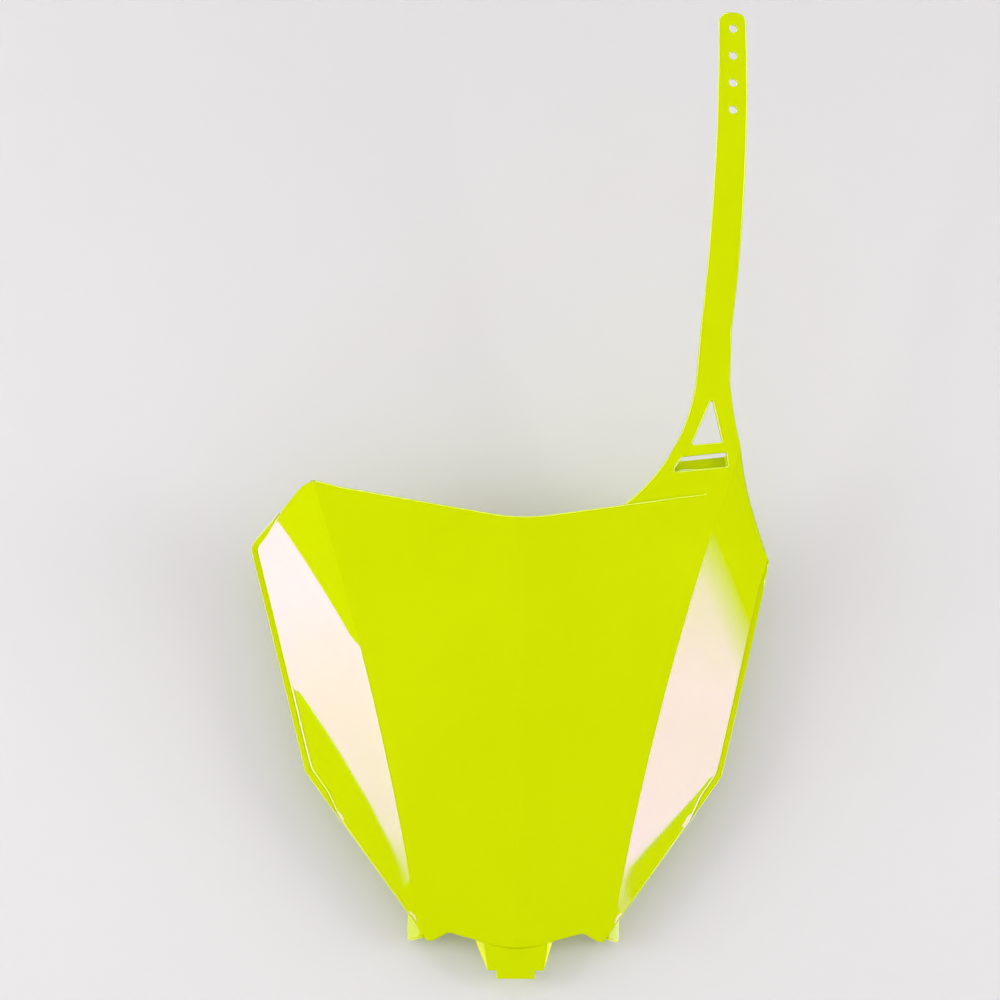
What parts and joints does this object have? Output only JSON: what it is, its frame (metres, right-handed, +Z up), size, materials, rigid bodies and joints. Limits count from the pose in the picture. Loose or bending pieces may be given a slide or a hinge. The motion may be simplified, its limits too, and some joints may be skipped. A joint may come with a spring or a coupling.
{
  "type": "racing number board",
  "caption": "Thin moulded front number board for an off-road motorbike: keeled panel with swept-back wings, a locating tab at the foot and a long strap that buttons round the bar.",
  "frame": {"origin": "on the seat at the back of the locating tab, on the middle plane, level with the shoulders of its tongue", "axes": "+Z up along the board, the numbered face looks along -Y, +X to the right seen from the front"},
  "size_m": [0.2493, 0.0504, 0.4547],
  "materials": {
    "yellow_plastic": "glossy fluorescent yellow moulded polypropylene"
  },
  "bodies": {
    "root": {"number_board": "yellow_plastic"}
  },
  "joints": []
}
